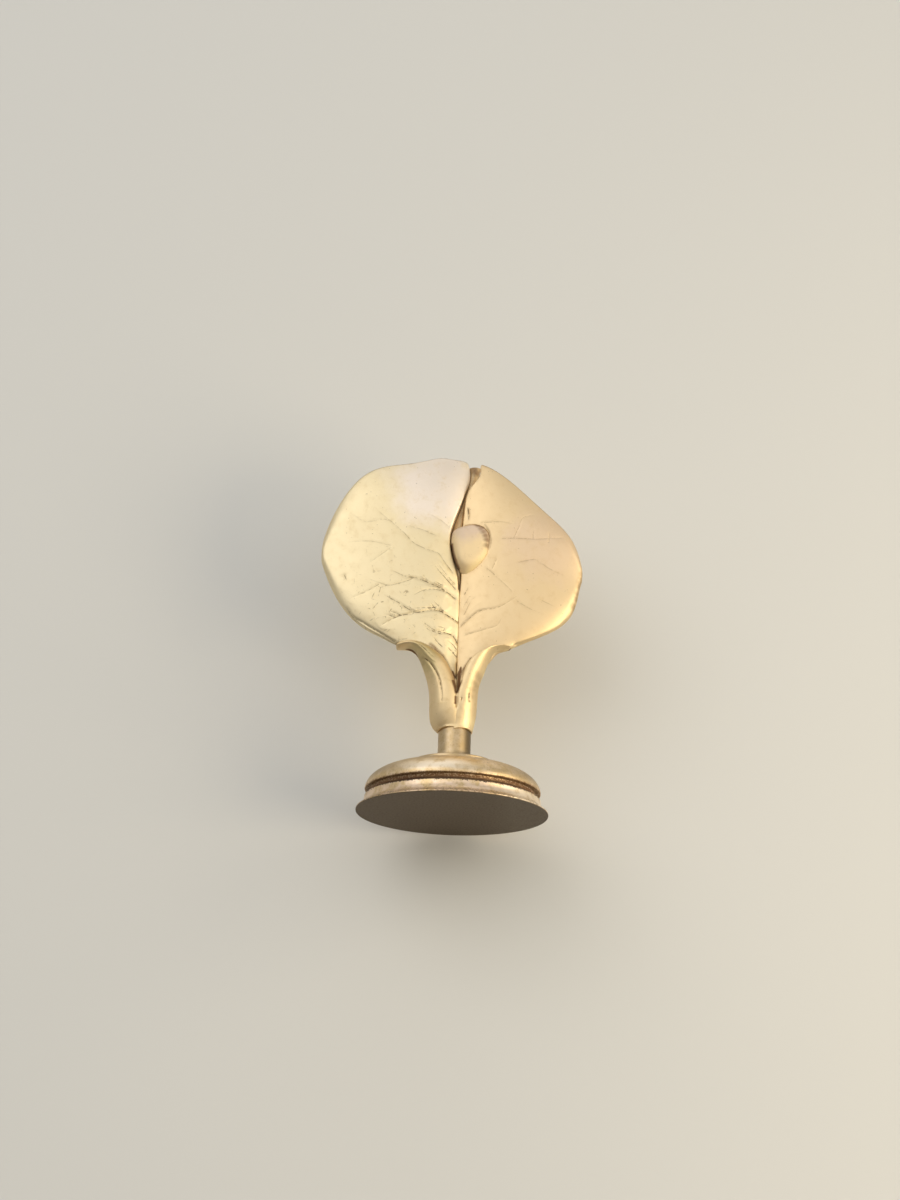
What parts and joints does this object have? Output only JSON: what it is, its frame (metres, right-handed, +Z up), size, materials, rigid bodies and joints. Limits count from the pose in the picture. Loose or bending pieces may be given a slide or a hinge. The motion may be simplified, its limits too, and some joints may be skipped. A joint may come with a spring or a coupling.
{
  "type": "wax seal stamp",
  "caption": "Desk seal: a plain round seal face on a domed foot, a turned neck in a leafy sheath, and a broad leaf with a bud as its handle. The die unscrews from the foot.",
  "frame": {"origin": "centre of the seal face", "axes": "+Z up along the neck and the leaf, front of the leaf towards -Y, +X to the right seen from the front"},
  "size_m": [0.0353, 0.025, 0.0503],
  "materials": {
    "leaf_gilt": "pale worn gilding with brown patina in the veins",
    "sheath_gilt": "worn gilding, brighter on the lips",
    "turned_bronze": "satin turned bronze with red-brown patina in the groove",
    "stud_brass": "bright cut thread"
  },
  "bodies": {
    "die": {"seal_die": "turned_bronze"},
    "washer": {"die_washer": "turned_bronze"},
    "handle": {"foot": "turned_bronze", "neck": "turned_bronze", "stud": "stud_brass", "bract_left": "sheath_gilt", "bract_right": "sheath_gilt", "leaf_left": "leaf_gilt", "leaf_right": "leaf_gilt", "leaf_spine": "leaf_gilt", "bud": "leaf_gilt", "bud_pin": "leaf_gilt"}
  },
  "joints": [
    {"name": "handle_turn", "type": "hinge", "parent": "die", "child": "washer", "pos_m": [0, 0, 0], "axis": [0, 0, 1], "range_deg": [0, 2304]},
    {"name": "handle_lift", "type": "slide", "parent": "washer", "child": "handle", "axis": [0, 0, 1], "range_m": [0, 0.0032]}
  ],
  "couplings": [
    {"joint": "handle_turn", "follows": "handle_lift", "rad_per_m": 12566}
  ]
}
